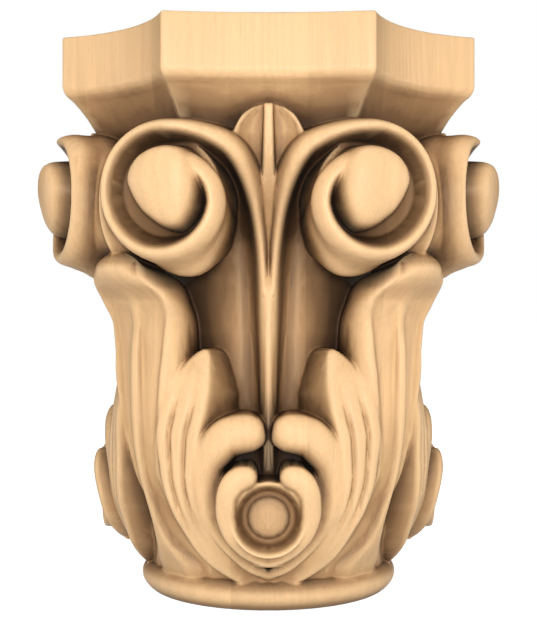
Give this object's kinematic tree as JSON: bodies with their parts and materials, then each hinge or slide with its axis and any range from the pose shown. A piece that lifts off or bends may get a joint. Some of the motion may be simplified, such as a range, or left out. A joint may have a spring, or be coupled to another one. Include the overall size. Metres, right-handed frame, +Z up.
{
  "type": "corinthian capital",
  "caption": "Carved wooden column capital with corner scrolls, fluted corner leaves and a small flower on each face, between a base ring and a flat abacus.",
  "frame": {"origin": "on the column's axis, at the flat underside of the base ring", "axes": "+Z up the column towards the abacus; -Y out of one of the four like faces; +X to the right of that face as it is looked at"},
  "size_m": [0.368, 0.368, 0.45],
  "materials": {
    "pale_wood": "fine sanded pale hardwood, thin matt oil, darker in the deep cuts"
  },
  "bodies": {
    "root": {"capital": "pale_wood"}
  },
  "joints": []
}
